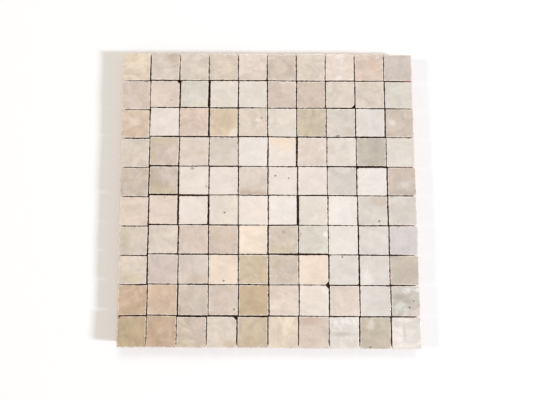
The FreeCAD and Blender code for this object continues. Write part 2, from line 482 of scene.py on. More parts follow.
@dataclass(frozen=True)
class GlazeFinish:
    """One glaze on its clay: a glossy, cloudy face and chiselled sides.

    Attributes:
        name: The glaze's name.
        colour: The glaze as it looks.
        cloudy: How strongly it is clouded.
        patchy: How much of it burnt warmer or cooler in patches.
        marbling_and_glare: The light swirls in it, which are partly painted reflections of glare on the
            glaze.
        vein: The soft grey veins in it.
        thin_rim: The rim where the glaze is thin.
        pale_rim_and_highlight: The rim where it is worn, lighter also as a painted highlight along its edges.
        clay: The clay as it looks.
        burnt_clay: Its darker places.
        pore: The small holes in it.
    """

    name: str
    colour: Tone
    cloudy: float = 1.0
    patchy: float = 1.0
    marbling_and_glare: Tone = (248, 232, 208)
    vein: Tone = (190, 180, 168)
    thin_rim: Tone = (176, 114, 82)
    pale_rim_and_highlight: Tone = (244, 236, 226)
    clay: Tone = (208, 164, 134)
    burnt_clay: Tone = (175, 126, 97)
    pore: Tone = (112, 78, 58)

    @property
    def slot(self) -> str:
        """Name the glaze's material."""
        return f"{self.name}_glaze"

    def make(self) -> bpy.types.Material:
        """Make the finish.

        Returns:
            The material.
        """
        board = Board(self.slot)
        grain = board.kept("grain_place")
        glaze, gloss, face_height = self.glaze(board, grain)
        clay, clay_height = self.bare_clay(board, grain)
        cover = self.cover(board, grain)
        return board.finish(
            Base_Color=board.blend(clay, glaze, cover),
            Roughness=0.92 - cover * (0.92 - gloss),
            Coat_Weight=cover * 0.3,
            Coat_Roughness=0.12,
            IOR=1.5,
            Normal=board.bump(face_height * cover + clay_height * (1 - cover), MM),
        )

    def cover(self, board: Board, grain: Value) -> Value:
        """Work out where the glaze covers the clay: the face, the rim and a ragged edge below it.

        Args:
            board: The material's nodes.
            grain: The chip's own place in its clay.

        Returns:
            1 on the glaze and 0 on bare clay.
        """
        across, along, up = board.parts(board.kept("chip_place"))
        ragged = board.noise(grain, 900, 3, 0.6)
        below = (1 - up) * THICKNESS
        flaked = board.noise(grain, 420, 2, 0.5)
        whole = (self.to_rim(across, along) + (flaked - 0.37) * 5.0).rise(0.0, 0.16)
        return (below + (ragged - 0.5) * 1.2).rise(0.60, 0.34) * whole

    @staticmethod
    def to_rim(across: Value, along: Value) -> Value:
        """Work out how far the nearest side of the chip is, in millimetres."""
        return (1 - abs(across).most(abs(along))) * HALF_SIDE

    def glaze(self, board: Board, grain: Value) -> tuple[Value, Value, Value]:
        """Work out the glazed face.

        Args:
            board: The material's nodes.
            grain: The chip's own place in its glaze.

        Returns:
            Its colour, its roughness, and its height in millimetres.
        """
        lighter, marbled_and_glare, veined = board.parts(board.kept("chip_tone"))
        cast, streaked, _ = board.parts(board.kept("chip_cast"))
        across, along, _ = board.parts(board.kept("chip_place"))
        paler, higher, _ = board.parts(board.kept("chip_pool"))
        cloud = board.noise(grain, 75, 2, 0.5, 0.8)
        wisp = board.noise(grain, 210, 3, 0.6, 1.2)
        fleck = board.noise(grain, 700, 3, 0.65)
        streak = board.noise(board.stretched(grain, (1.0, 2.4, 1.0)), 70, 3, 0.5, 0.8)
        light = (
            1 + lighter + across * paler + along * higher
            + (cloud.rise(0.36, 0.64) - 0.5) * (0.12 * self.cloudy)
            + (wisp.rise(0.38, 0.62) - 0.5) * (0.06 * self.cloudy)
            + (fleck - 0.5) * (0.11 * self.cloudy)
            + (streak.rise(0.36, 0.64) - 0.5) * (0.03 + streaked * 0.12)
        )
        red, green, blue, alpha = linear(self.colour)
        warm = (red * 0.965, green * 0.90, blue * 0.80, alpha)
        cool = (red * 0.91, green * 0.925, blue * 0.935, alpha)
        warm_cloud = board.noise(grain, 95, 3, 0.6, 1.6)
        cool_cloud = board.noise(board.stretched(grain, (1.3, 1.0, -1.0)), 85, 3, 0.6, 1.2)
        colour = board.blend(
            (red, green, blue, alpha), warm, (warm_cloud + cast * 0.25).rise(0.46, 0.70) * (0.6 * self.patchy)
        )
        colour = board.blend(colour, cool, (cool_cloud - cast * 0.25).rise(0.48, 0.72) * (0.6 * self.patchy))
        # Tinted patches from the marks; the small milk-white ones are painted highlights.
        reach = board.kept("mark_reach", "Fac") + (wisp - 0.5) * 0.7 + (cloud - 0.5) * 0.8
        strength = board.kept("mark_tint", "Alpha")
        colour = board.blend(colour, board.kept("mark_tint", "Color"), reach.rise(0.20, 0.90) * strength)
        colour = board.lit(colour, light)
        # Light swirls: partly marbling in the glaze, partly painted reflections of glare.
        swirl = board.noise(board.stretched(grain, (1.0, 1.9, 1.0)), 48, 2, 0.5, 1.3)
        colour = board.blend(colour, linear(self.marbling_and_glare), swirl.rise(0.44, 0.60) * marbled_and_glare)
        murk = board.noise(board.stretched(grain, (0.8, 1.6, 1.0)), 62, 3, 0.55, 1.4)
        colour = board.blend(colour, linear(self.vein), murk.rise(0.47, 0.60) * veined)
        pit = (board.kept("pit_reach", "Fac") + (fleck - 0.5) * 0.3).rise(0.38, 0.62)
        colour = board.blend(colour, linear(Tint.UMBER.value), pit * 0.75)
        near_rim = self.to_rim(across, along)
        # Pale rim: partly worn glaze, partly a painted highlight along the chips' edges.
        worn = (near_rim + (fleck - 0.5) * 1.2).rise(1.1, 0.5) * wisp.rise(0.38, 0.54)
        colour = board.blend(colour, linear(self.pale_rim_and_highlight), worn * 0.7)
        thin = (near_rim + (fleck - 0.5) * 0.5).rise(0.24, 0.0)
        colour = board.blend(colour, linear(self.thin_rim), thin * 0.6)
        gloss = 0.20 + (cloud - 0.5) * 0.14 + (fleck - 0.5) * 0.10 + pit * 0.3
        height = cloud * 0.30 + wisp * 0.10 + fleck * 0.03 - pit * 0.35
        return colour, gloss, height

    def bare_clay(self, board: Board, grain: Value) -> tuple[Value, Value]:
        """Work out the chiselled clay.

        Args:
            board: The material's nodes.
            grain: The chip's own place in its clay.

        Returns:
            Its colour, and its height in millimetres.
        """
        lump = board.noise(grain, 240, 4, 0.6)
        grit = board.noise(grain, 1500, 3, 0.7)
        pore = board.add("ShaderNodeTexVoronoi", {"feature": "F1"}, {"Vector": grain, "Scale": 620.0})
        hole = pore.rise(0.26, 0.12)
        colour = board.blend(linear(self.clay), linear(self.burnt_clay), lump.rise(0.38, 0.68) * 0.8)
        colour = board.lit(colour, 0.92 + grit * 0.16)
        colour = board.blend(colour, linear(self.pore), hole * 0.6)
        return colour, lump * 0.9 + grit * 0.16 - hole * 0.25


GLAZES: tuple[GlazeFinish, ...] = (
    GlazeFinish("straw", (230, 213, 192), 1.2, 1.0),
    GlazeFinish("linen", (222, 208, 194)),
    GlazeFinish("blush", (229, 212, 199), 0.7, 0.6),
    GlazeFinish("taupe", (210, 195, 180), 1.1, 1.1),
    GlazeFinish("rose", (221, 200, 186), 0.9, 0.9),
    GlazeFinish("stone_grey", (207, 197, 187), 0.8, 0.8),
    GlazeFinish("mauve", (216, 199, 186), 0.9, 0.9),
    GlazeFinish("sage", (221, 214, 202), 0.9, 0.9),
    GlazeFinish("cream", (231, 220, 208), 0.6, 0.6),
    GlazeFinish("honey", (217, 194, 171), 1.2, 1.2),
    GlazeFinish("shell", (237, 224, 214), 0.4, 0.45),
    GlazeFinish("olive", (208, 191, 169), 1.2, 1.3),
    GlazeFinish("pearl_grey", (218, 209, 199), 0.8, 0.9),
    GlazeFinish("frost", (226, 218, 209), 0.6, 0.6),
    GlazeFinish("milk_white", (240, 231, 223), 0.35, 0.35),
    GlazeFinish("lichen", (199, 188, 173), 0.9, 0.9),
    GlazeFinish("sand", (201, 175, 146), 1.1, 1.1),
    GlazeFinish("peach", (242, 224, 205), 0.6, 0.6),
    GlazeFinish("lilac", (218, 208, 205), 0.6, 0.5),
)


@dataclass(frozen=True)
class YarnFinish:
    """Glass-fibre yarn with a milky coating.

    Attributes:
        name: What the finish is called.
        colour: The yarn as it looks.
        lengthways: How the pattern is stretched, so that the fibres run along the yarn.
        upper_tone: The darker brown of its upper side.
    """

    name: str
    colour: Tone
    lengthways: tuple[float, float, float]
    upper_tone: Tone = (136, 92, 70)

    def make(self) -> bpy.types.Material:
        """Make the finish.

        Returns:
            The material.
        """
        board = Board(self.name)
        place = board.add("ShaderNodeTexCoord", result="Object")
        fibre = board.noise(board.stretched(place, self.lengthways), 5200, 3, 0.6)
        patch = board.noise(place, 160, 3, 0.5)
        colour = board.lit(linear(self.colour), 0.84 + fibre * 0.24 + (patch - 0.5) * 0.12)
        _, _, up = board.parts(place)
        # The yarn's upper side turns darker brown.
        colour = board.blend(colour, linear(self.upper_tone), up.rise(0.13 * MM, 0.18 * MM) * 0.9)
        return board.finish(
            Base_Color=colour,
            Roughness=0.42 + patch * 0.25,
            Normal=board.bump(fibre, 0.06 * MM),
        )


@dataclass(frozen=True)
class GlueFinish:
    """Dried glue: a milky, slightly yellow film.

    Attributes:
        name: What the finish is called.
        colour: The glue as it looks.
        thin: The glue where it is thin.
    """

    name: str = "dried_glue"
    colour: Tone = (232, 226, 208)
    thin: Tone = (206, 194, 168)

    def make(self) -> bpy.types.Material:
        """Make the finish.

        Returns:
            The material.
        """
        board = Board(self.name)
        place = board.add("ShaderNodeTexCoord", result="Object")
        ripple = board.noise(place, 420, 3, 0.5, 0.8)
        thin = board.noise(place, 180, 2, 0.5)
        colour = board.blend(linear(self.colour), linear(self.thin), thin.rise(0.4, 0.7) * 0.6)
        return board.finish(
            Base_Color=colour,
            Roughness=0.28 + ripple * 0.2,
            Normal=board.bump(ripple, 0.2 * MM),
            Coat_Weight=0.3,
        )


# What the kiln and the maker left on single chips


@dataclass(frozen=True)
class Mark:
    """One mark on one chip, placed from the middle of its face in half chips.

    Attributes:
        row: The chip's row, counted from the far edge.
        column: Its column, counted from the left.
        across: How far right its middle is.
        along: How far towards the far edge its middle is.
        width: Its reach to either side.
        height: Its reach up and down.
        tint: The tint of a soft patch, or none for a small dark pit.
        strength: How strongly a patch shows.
    """

    row: int
    column: int
    across: float
    along: float
    width: float
    height: float
    tint: Optional[Tint] = None
    strength: float = 0.0


# The small milk-white marks are painted highlights, spots that stand in for glints; the wide ones are pale
# glaze.
MARKS: tuple[Mark, ...] = (
    Mark(1, 2, 0.62, 0.65, 0.55, 0.50, Tint.BROWN, 0.4),
    Mark(1, 6, 0.65, 0.15, 0.30, 0.35, Tint.BROWN, 0.25),
    Mark(1, 8, 0.00, 0.00, 0.32, 1.30, Tint.MILK, 0.35),
    Mark(1, 9, 0.62, 0.78, 0.16, 0.12, Tint.MILK, 0.8),
    Mark(1, 9, 0.25, 0.15, 0.45, 0.45, Tint.TAN, 0.5),
    Mark(1, 10, 0.00, 0.00, 1.60, 1.60, Tint.MAUVE, 0.45),
    Mark(2, 2, 0.45, -0.45, 0.05, 0.05),
    Mark(3, 1, -0.10, 0.15, 0.32, 0.36, Tint.MILK, 0.18),
    Mark(3, 4, 0.10, 0.15, 0.80, 0.90, Tint.OLIVE, 0.65),
    Mark(3, 4, 0.80, -0.75, 0.42, 0.34, Tint.MILK, 0.25),
    Mark(3, 5, 0.60, 0.30, 0.06, 0.06),
    Mark(3, 5, 0.30, 0.12, 0.16, 0.14, Tint.MILK, 0.6),
    Mark(3, 7, -0.50, -0.60, 0.50, 0.40, Tint.OLIVE, 0.6),
    Mark(3, 8, -0.20, -0.93, 0.16, 0.06),
    Mark(3, 10, -0.55, 0.05, 0.22, 0.20, Tint.MILK, 0.5),
    Mark(4, 2, -0.45, 0.85, 0.95, 0.30, Tint.OLIVE, 0.8),
    Mark(4, 2, -0.85, 0.10, 0.25, 0.90, Tint.OLIVE, 0.6),
    Mark(4, 2, 0.30, -0.25, 0.75, 0.70, Tint.MAUVE, 0.6),
    Mark(4, 3, 0.50, -0.10, 0.50, 0.16, Tint.TAN, 0.35),
    Mark(4, 6, 0.00, 0.75, 1.30, 0.50, Tint.PEACH, 0.8),
    Mark(5, 2, 0.20, 0.40, 0.80, 0.70, Tint.MAUVE, 0.8),
    Mark(5, 2, -0.30, -0.55, 0.30, 0.55, Tint.OLIVE, 0.7),
    Mark(5, 3, -0.12, 0.86, 0.16, 0.12, Tint.BROWN, 0.9),
    Mark(5, 3, 0.85, -0.42, 0.05, 0.06),
    Mark(5, 5, -0.20, -1.00, 1.40, 0.38, Tint.BROWN, 0.6),
    Mark(5, 6, -0.52, 0.36, 0.07, 0.07),
    Mark(5, 6, 0.40, 0.20, 0.06, 0.06),
    Mark(5, 10, 0.30, -0.30, 0.50, 0.30, Tint.MILK, 0.3),
    Mark(6, 2, 0.10, 0.85, 0.05, 0.06),
    Mark(6, 4, 0.05, -0.18, 0.08, 0.07),
    Mark(6, 5, 0.10, 0.00, 1.30, 1.30, Tint.BLUSH, 0.4),
    Mark(6, 9, 0.50, 0.70, 0.80, 0.40, Tint.BROWN, 0.35),
    Mark(6, 9, 0.42, -0.72, 0.08, 0.07),
    Mark(6, 10, -0.35, -0.70, 0.05, 0.05),
    Mark(7, 1, -0.70, 0.10, 0.45, 1.00, Tint.OLIVE, 0.55),
    Mark(7, 6, 0.00, -0.80, 1.10, 0.40, Tint.OLIVE, 0.6),
    Mark(7, 6, 0.02, 0.55, 0.13, 0.14, Tint.BROWN, 0.7),
    Mark(7, 7, 0.78, 0.38, 0.12, 0.16, Tint.MILK, 0.9),
    Mark(7, 7, -0.95, 0.35, 0.14, 0.20, Tint.BROWN, 0.7),
    Mark(8, 1, -0.10, -0.60, 0.80, 0.40, Tint.OLIVE, 0.55),
    Mark(8, 1, -0.80, 0.75, 0.35, 0.40, Tint.PEACH, 0.6),
    Mark(8, 2, -0.10, 0.10, 1.30, 1.20, Tint.MAUVE, 0.6),
    Mark(8, 3, 0.30, -0.70, 0.80, 0.36, Tint.TAN, 0.45),
    Mark(8, 3, -0.20, 0.45, 0.90, 0.60, Tint.MAUVE, 0.6),
    Mark(8, 4, 0.02, -0.76, 0.07, 0.07),
    Mark(8, 5, 0.00, -0.10, 1.20, 1.10, Tint.MOSS, 0.3),
    Mark(8, 6, -0.50, 0.50, 0.40, 0.45, Tint.OLIVE, 0.5),
    Mark(8, 7, 0.00, 0.00, 1.60, 1.60, Tint.BLUSH, 0.3),
    Mark(8, 8, -0.12, 0.88, 0.07, 0.07),
    Mark(8, 9, -0.70, -0.60, 0.50, 0.50, Tint.MILK, 0.4),
    Mark(8, 10, 0.00, 0.10, 1.40, 1.30, Tint.TAN, 0.25),
    Mark(9, 1, 0.10, 0.40, 1.20, 0.80, Tint.FLESH, 0.6),
    Mark(9, 2, 0.00, 0.20, 1.40, 1.20, Tint.FLESH, 0.6),
    Mark(9, 3, -0.90, -0.70, 0.16, 0.30, Tint.BROWN, 0.6),
    Mark(9, 4, 0.72, -0.62, 0.08, 0.07),
    Mark(9, 5, 0.10, -0.10, 1.20, 1.20, Tint.MOSS, 0.4),
    Mark(9, 10, -0.30, -0.50, 0.45, 0.36, Tint.SEA, 0.8),
    Mark(9, 10, 0.65, -0.55, 0.40, 0.45, Tint.MAUVE, 0.8),
    Mark(9, 10, -0.40, 0.25, 0.50, 0.22, Tint.SMOKE, 0.8),
    Mark(9, 10, 0.15, 0.00, 0.40, 0.20, Tint.SMOKE, 0.7),
    Mark(9, 10, 0.45, 0.80, 0.55, 0.30, Tint.MILK, 0.8),
    Mark(9, 10, 0.25, -0.42, 0.09, 0.08),
    Mark(9, 10, 0.55, 0.00, 0.07, 0.06),
    Mark(10, 1, -0.20, -0.20, 1.30, 1.30, Tint.MOSS, 0.6),
    Mark(10, 2, 0.20, 0.10, 1.30, 1.30, Tint.FLESH, 0.5),
    Mark(10, 3, -0.60, -0.70, 0.50, 0.35, Tint.OLIVE, 0.5),
    Mark(10, 3, 0.35, 0.25, 0.80, 0.80, Tint.MAUVE, 0.5),
    Mark(10, 4, 0.60, -0.80, 0.40, 0.30, Tint.TAN, 0.7),
    Mark(10, 7, -0.40, 0.75, 0.60, 0.30, Tint.BROWN, 0.4),
    Mark(10, 8, -0.20, -0.08, 0.70, 0.16, Tint.SMOKE, 0.5),
    Mark(10, 8, 0.20, 0.75, 0.90, 0.30, Tint.MILK, 0.5),
    Mark(10, 9, -0.35, -0.90, 0.10, 0.07),
    Mark(10, 9, -0.30, 0.50, 0.18, 0.30, Tint.MILK, 0.35),
    Mark(10, 10, -0.45, 0.00, 0.12, 1.10, Tint.MILK, 0.6),
    Mark(10, 10, -0.15, 0.25, 0.10, 0.60, Tint.TAN, 0.4),
)


@dataclass(frozen=True)
class Character:
    """How one chip differs from the others of its glaze.

    Attributes:
        lighter: By what share it is lighter, or darker below 0.
        warmer: From -1, greyer, to 1, more tan.
        marbled_and_glare: How strongly the light swirls show in it, which are partly painted glare
            reflections.
        veined: How strongly soft grey veins show in it.
        streaked: How strongly the glaze's pour shows as streaks.
    """

    lighter: float = 0.0
    warmer: float = 0.0
    marbled_and_glare: float = 0.0
    veined: float = 0.0
    streaked: float = 0.0


CHARACTERS: dict[tuple[int, int], Character] = {
    (1, 1): Character(lighter=-0.05, marbled_and_glare=0.5, warmer=0.3),
    (1, 2): Character(streaked=0.7),
    (1, 4): Character(marbled_and_glare=0.2, warmer=0.4, streaked=0.5),
    (1, 5): Character(warmer=-0.5, streaked=0.8),
    (1, 7): Character(streaked=0.4, warmer=0.4),
    (1, 8): Character(streaked=0.5),
    (1, 9): Character(lighter=0.02, streaked=0.8),
    (1, 10): Character(lighter=-0.06),
    (2, 2): Character(lighter=-0.02, warmer=0.4),
    (2, 4): Character(lighter=0.03, warmer=0.4),
    (2, 7): Character(lighter=-0.06, warmer=0.2),
    (2, 9): Character(lighter=-0.01, warmer=-0.2),
    (2, 10): Character(lighter=-0.05),
    (3, 1): Character(marbled_and_glare=0.2),
    (3, 3): Character(lighter=0.03, streaked=0.7),
    (3, 4): Character(lighter=0.08, warmer=-0.3),
    (3, 5): Character(lighter=0.03),
    (3, 6): Character(warmer=0.5),
    (3, 7): Character(warmer=-0.8, streaked=0.7),
    (3, 8): Character(lighter=0.03, warmer=0.4),
    (3, 9): Character(lighter=0.04, warmer=-1.4),
    (3, 10): Character(lighter=-0.06),
    (4, 1): Character(lighter=-0.03),
    (4, 2): Character(lighter=0.05, warmer=0.3),
    (4, 3): Character(lighter=0.01, warmer=-0.6),
    (4, 4): Character(lighter=0.03, warmer=0.6),
    (4, 7): Character(warmer=-1.0, streaked=0.5),
    (4, 8): Character(lighter=-0.03, warmer=-0.5),
    (4, 9): Character(lighter=-0.04, warmer=-0.6),
    (5, 2): Character(lighter=-0.04),
    (5, 3): Character(lighter=-0.03),
    (5, 5): Character(lighter=0.02, warmer=-0.2),
    (5, 7): Character(lighter=0.01, warmer=-0.8),
    (5, 8): Character(lighter=-0.02, warmer=-0.6),
    (5, 10): Character(lighter=-0.10, warmer=-0.3),
    (6, 1): Character(warmer=0.7),
    (6, 4): Character(lighter=0.04),
    (6, 5): Character(lighter=0.03, warmer=0.5),
    (6, 8): Character(warmer=-0.5),
    (7, 2): Character(lighter=0.05),
    (7, 4): Character(lighter=-0.01, warmer=0.6),
    (7, 5): Character(lighter=0.03, warmer=-0.2, marbled_and_glare=0.1),
    (7, 6): Character(lighter=0.05),
    (7, 9): Character(lighter=-0.04),
    (8, 4): Character(lighter=-0.03),
    (8, 5): Character(lighter=0.05, warmer=0.5),
    (8, 7): Character(lighter=-0.02, warmer=-0.5),
    (8, 9): Character(lighter=-0.04),
    (8, 10): Character(lighter=-0.03, warmer=0.7, marbled_and_glare=0.1, veined=0.3),
    (9, 1): Character(lighter=-0.02, warmer=0.3, marbled_and_glare=0.12),
    (9, 2): Character(lighter=-0.01, warmer=0.1),
    (9, 5): Character(lighter=0.04),
    (9, 6): Character(marbled_and_glare=0.2, streaked=0.8),
    (9, 7): Character(marbled_and_glare=0.15, streaked=0.5),
    (9, 10): Character(lighter=0.07, veined=0.6, warmer=-0.8),
    (10, 1): Character(lighter=-0.08, warmer=1.1, marbled_and_glare=0.08, streaked=0.6),
    (10, 2): Character(lighter=-0.08, marbled_and_glare=0.08),
    (10, 3): Character(lighter=0.03, warmer=0.9, streaked=0.8),
    (10, 4): Character(lighter=0.04),
    (10, 5): Character(warmer=0.3),
    (10, 6): Character(lighter=0.02, warmer=-0.2, marbled_and_glare=0.15, streaked=0.6),
    (10, 8): Character(lighter=0.06, veined=0.25, warmer=-0.7),
    (10, 9): Character(lighter=-0.05, warmer=1.0, marbled_and_glare=0.1),
    (10, 10): Character(lighter=-0.03, veined=0.2, streaked=0.8),
}


# The chips


class Zone(enum.Enum):
    """The parts of a chip that are uneven in their own way."""

    SIDES = "chiselled_sides"
    RIM = "worn_rim"
    FACE = "glazed_face"
    BACK = "rough_back"


@dataclass(frozen=True)
class Unevenness:
    """One kind of unevenness that cutting, glazing or wear leaves on a zone of the chips.

    Attributes:
        name: What it is called.
        zone: Where it is.
        depth: How deep it goes, in metres.
        grain: How large its lumps are, in metres.
        layers: How many finer layers they have.
        sharp: How sharply deep places differ from the rest.
        brightness: Below 1, fewer places are deep.
    """

    name: str
    zone: Zone
    depth: float
    grain: float
    layers: int = 2
    sharp: float = 1.0
    brightness: float = 1.0

    def wear(self, thing: bpy.types.Object) -> None:
        """Wear the mesh down where this unevenness is, and never outwards.

        Args:
            thing: The object to wear.
        """
        lumps = bpy.data.textures.new(self.name, "CLOUDS")
        lumps.noise_scale = self.grain
        lumps.noise_depth = self.layers
        lumps.contrast = self.sharp
        lumps.intensity = self.brightness
        lumps.use_clamp = True
        worn = thing.modifiers.new(self.name, "DISPLACE")
        worn.texture = lumps
        worn.texture_coords = "GLOBAL"
        worn.direction = "NORMAL"
        worn.vertex_group = self.zone.value
        worn.mid_level = 0.0
        worn.strength = -self.depth


UNEVENNESS: tuple[Unevenness, ...] = (
    Unevenness("chisel_facets", Zone.SIDES, 1.1 * MM, 5.2 * MM, 1, 1.6),
    Unevenness("torn_clay", Zone.SIDES, 0.35 * MM, 1.6 * MM, 2, 1.5),
    Unevenness("wavy_cut", Zone.RIM, 0.15 * MM, 5.5 * MM, 1, 1.8),
    Unevenness("rim_nicks", Zone.RIM, 0.35 * MM, 2.6 * MM, 1, 5.0, 0.50),
    Unevenness("pooled_glaze", Zone.FACE, 0.22 * MM, 8.0 * MM, 1, 1.4),
    Unevenness("hand_pressed_back", Zone.BACK, 0.35 * MM, 6.0 * MM, 2, 1.3),
)


@dataclass
class ChipBlank:
    """One square chip, modelled once: a gridded block with broken corners and a worn rim.

    Attributes:
        side: Its width and length, in metres.
        thickness: Its height.
        cells: How many cells its face has each way.
        courses: How many cells its sides are high.
        corner: How much is broken off its upright corners.
        rim: How far its upper rim is rounded.
        heel: How far its lower edge is broken.
    """

    side: float = 2 * HALF_SIDE * MM
    thickness: float = THICKNESS * MM
    cells: int = 26
    courses: int = 9
    corner: float = 0.55 * MM
    rim: float = 0.22 * MM
    heel: float = 0.3 * MM

    def build(self) -> bpy.types.Object:
        """Model the blank.

        Returns:
            The blank, in the middle of the frame with its back at height 0.
        """
        bpy.ops.object.select_all(action="DESELECT")
        bpy.ops.mesh.primitive_cube_add(
            size=1,
            location=(0, 0, self.thickness / 2),
            scale=(self.side, self.side, self.thickness),
        )
        blank = bpy.context.active_object
        blank.name = "chip_blank"
        bpy.ops.object.transform_apply(location=True, rotation=True, scale=True)
        with Bench(blank) as bench:
            bench.edges(lambda edge: not self.is_upright(edge))
            bpy.ops.mesh.subdivide(number_cuts=self.cells - 1)
            bench.edges(self.is_upright)
            bpy.ops.mesh.subdivide(number_cuts=self.courses - 1)
            bench.edges(lambda edge: self.is_upright(edge) and self.is_corner(edge))
            bpy.ops.mesh.bevel(offset=self.corner, segments=2, affect="EDGES")
            bench.edges(lambda edge: self.is_border(edge, self.thickness))
            bpy.ops.mesh.bevel(offset=self.rim, segments=3, affect="EDGES")
            bench.edges(lambda edge: self.is_border(edge, 0.0))
            bpy.ops.mesh.bevel(offset=self.heel, segments=1, affect="EDGES")
        self.note_places(blank)
        self.mark_zones(blank)
        return blank

    @staticmethod
    def is_upright(edge: bmesh.types.BMEdge) -> bool:
        """Say whether an edge of the blank stands upright."""
        low, high = edge.verts
        return abs(low.co.z - high.co.z) > 0.5 * (low.co - high.co).length

    def is_corner(self, edge: bmesh.types.BMEdge) -> bool:
        """Say whether an upright edge is one of the blank's four corners."""
        place = edge.verts[0].co
        return min(abs(place.x), abs(place.y)) > self.side / 2 - 0.01 * MM

    @staticmethod
    def is_border(edge: bmesh.types.BMEdge, height: float) -> bool:
        """Say whether an edge goes round the blank's face or back.

        Args:
            edge: The edge to test.
            height: The height of the face or back.

        Returns:
            True where one side of the edge is level and the other upright.
        """
        if any(abs(point.co.z - height) > 0.01 * MM for point in edge.verts):
            return False
        slopes = sorted(abs(face.normal.z) for face in edge.link_faces)
        return len(slopes) == 2 and slopes[0] < 0.5 < slopes[1]

    def note_places(self, blank: bpy.types.Object) -> None:
        """Keep with each point where it is on the chip: -1 to 1 across and along, 0 to 1 up.

        Args:
            blank: The blank.
        """
        places = read_vectors(blank.data, "position")
        shares = places / np.array([self.side / 2, self.side / 2, self.thickness], np.float32)
        write_values(blank.data, "chip_place", shares)

    def mark_zones(self, blank: bpy.types.Object) -> None:
        """Say of each point how much it belongs to each zone.

        Args:
            blank: The blank.
        """
        places = read_vectors(blank.data, "position")
        half, top = self.side / 2, self.thickness
        reach = np.abs(places[:, :2]).max(axis=1)
        below = top - places[:, 2]
        outer = reach > half - self.corner - 0.1 * MM
        sides = np.clip((below - 0.7 * MM) / (2.4 * MM), 0, 1) * outer
        rim = np.clip(1 - (half - reach) / (1.2 * MM), 0, 1) * np.clip(1 - below / (2.0 * MM), 0, 1)
        face = np.clip((half - reach - 0.2 * MM) / (1.5 * MM), 0, 1) * (below < 0.1 * MM)
        back = np.clip((half - reach) / (1.0 * MM), 0, 1) * (places[:, 2] < 0.1 * MM)
        for zone, weights in ((Zone.SIDES, sides), (Zone.RIM, rim), (Zone.FACE, face), (Zone.BACK, back)):
            group = blank.vertex_groups.new(name=zone.value)
            for index in np.nonzero(weights > 0)[0]:
                group.add([int(index)], float(weights[index]), "REPLACE")


@dataclass
class CutChip:
    """One chip as the frame has it.

    Attributes:
        row: Its row, counted from the far edge.
        column: Its column, counted from the left.
        corners: Its eight corners, the back's first, each from left to right and near to far.
        knocks: A point and the direction outwards of each corner that was knocked off.
    """

    row: int
    column: int
    corners: list[Vector]
    knocks: list[tuple[Vector, Vector]]

    least_knock: ClassVar[float] = 1.0 * MM
    """How deep a corner has to be cut to count as knocked off."""
    chipped: ClassVar[dict[tuple[int, int], tuple[int, Vector, float]]] = {
        (2, 2): (7, Vector((1, 1, 0)), 1.8 * MM),
    }
    """A corner that is chipped without being knocked off: which one, its way out, and how deep."""

    @classmethod
    def read(cls, solid: bpy.types.Object) -> "CutChip":
        """Read a chip from its solid.

        Args:
            solid: The chip's solid, with its flat faces whole.

        Returns:
            The chip.
        """
        mesh = solid.data
        back, face = cls.plane(mesh, Vector((0, 0, -1))), cls.plane(mesh, Vector((0, 0, 1)))
        left, right = cls.plane(mesh, Vector((-1, 0, 0))), cls.plane(mesh, Vector((1, 0, 0)))
        near, far = cls.plane(mesh, Vector((0, -1, 0))), cls.plane(mesh, Vector((0, 1, 0)))
        corners = [
            cls.meeting(level, side, end)
            for level in (back, face)
            for end in (near, far)
            for side in (left, right)
        ]
        middle = sum(corners, Vector()) / 8
        knocks = []
        for part in mesh.polygons:
            if min(abs(part.normal.x), abs(part.normal.y)) < 0.4 or abs(part.normal.z) > 0.3:
                continue
            lost = max((corner - part.center).dot(part.normal) for corner in corners[4:])
            if lost > cls.least_knock:
                knocks.append((part.center.copy(), part.normal.copy()))
        row = round(MIDDLE - middle.y / PITCH)
        column = round(MIDDLE + middle.x / PITCH)
        if (row, column) in cls.chipped:
            corner, outwards, depth = cls.chipped[row, column]
            knocks.append((corners[corner] - outwards.normalized() * depth, outwards.normalized()))
        return cls(row, column, corners, knocks)

    @staticmethod
    def plane(mesh: bpy.types.Mesh, facing: Vector) -> tuple[Vector, Vector]:
        """Find the widest flat part that faces one way.

        Args:
            mesh: The solid's mesh.
            facing: The way that it faces.

        Returns:
            A point of it, and its direction outwards.
        """
        flats = [part for part in mesh.polygons if part.normal.dot(facing) > 0.9]
        widest = max(flats, key=lambda part: part.area)
        return widest.center.copy(), widest.normal.copy()

    @staticmethod
    def meeting(*planes: tuple[Vector, Vector]) -> Vector:
        """Work out where three planes meet, each of them given by a point and its direction."""
        rows = Matrix([direction for _, direction in planes])
        return rows.inverted() @ Vector([point.dot(direction) for point, direction in planes])


def separate_chips(node: bpy.types.Object) -> list[CutChip]:
    """Read all the chips of one of the frame's nodes.

    Args:
        node: The node, which stays as it is.

    Returns:
        Its chips.
    """
    solids = own_copy(node, "cut_chips")
    solids.hide_viewport = False
    before = set(bpy.data.objects)
    with Bench(solids) as bench:
        bench.everything()
        bpy.ops.mesh.remove_doubles(threshold=0.001 * MM)
        bpy.ops.mesh.dissolve_limited(angle_limit=math.radians(0.1))
        bench.everything()
        bpy.ops.mesh.separate(type="LOOSE")
    parts = [solids] + [thing for thing in bpy.data.objects if thing not in before]
    chips = [CutChip.read(part) for part in parts]
    for part in parts:
        bpy.data.meshes.remove(part.data)
    return sorted(chips, key=lambda chip: (chip.row, chip.column))


